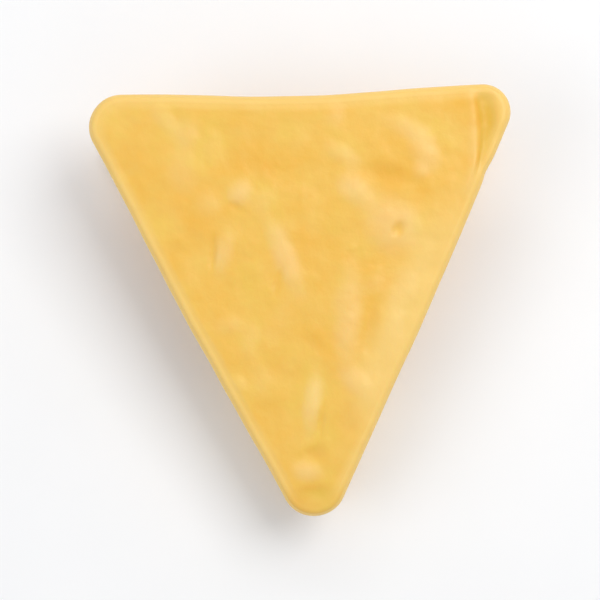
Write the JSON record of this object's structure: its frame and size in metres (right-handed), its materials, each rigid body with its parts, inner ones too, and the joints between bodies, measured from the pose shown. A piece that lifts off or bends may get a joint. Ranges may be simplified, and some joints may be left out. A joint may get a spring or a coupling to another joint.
{
  "type": "bag clip",
  "caption": "Spring bag clip whose front is a blistered corn-chip triangle; squeezing the two wide handles opens toothed jaws at the tip.",
  "frame": {"origin": "on the flat rear face, straight below the middle of the hinge pin", "axes": "+X along the hinge pin, to the right as the chip face is seen with its tip down; +Y towards the handles; +Z out of the chip face"},
  "size_m": [0.0651, 0.0665, 0.0217],
  "materials": {
    "chip_plastic": "moulded corn yellow, soft sheen, blistered like a fried chip",
    "lever_plastic": "moulded corn yellow, satin",
    "grip_rubber": "soft ivory grip rubber, matt",
    "pin_steel": "zinc-plated steel",
    "spring_steel": "drawn spring wire, lightly oiled"
  },
  "bodies": {
    "rear_half": {"rear_lever": "lever_plastic", "rear_jaw_pad": "grip_rubber", "torsion_spring": "spring_steel"},
    "front_half": {"front_chip": "chip_plastic", "front_lever": "lever_plastic", "front_jaw_pad": "grip_rubber", "hinge_pin": "pin_steel", "pin_cap": "pin_steel"}
  },
  "joints": [
    {"name": "jaw_hinge", "type": "hinge", "parent": "rear_half", "child": "front_half", "pos_m": [0, 0, 0.0076], "axis": [-1, 0, 0], "range_deg": [0, 22], "stiffness_Nm_per_rad": 0.25, "springref_deg": -9.17, "deforming": ["torsion_spring"]}
  ]
}
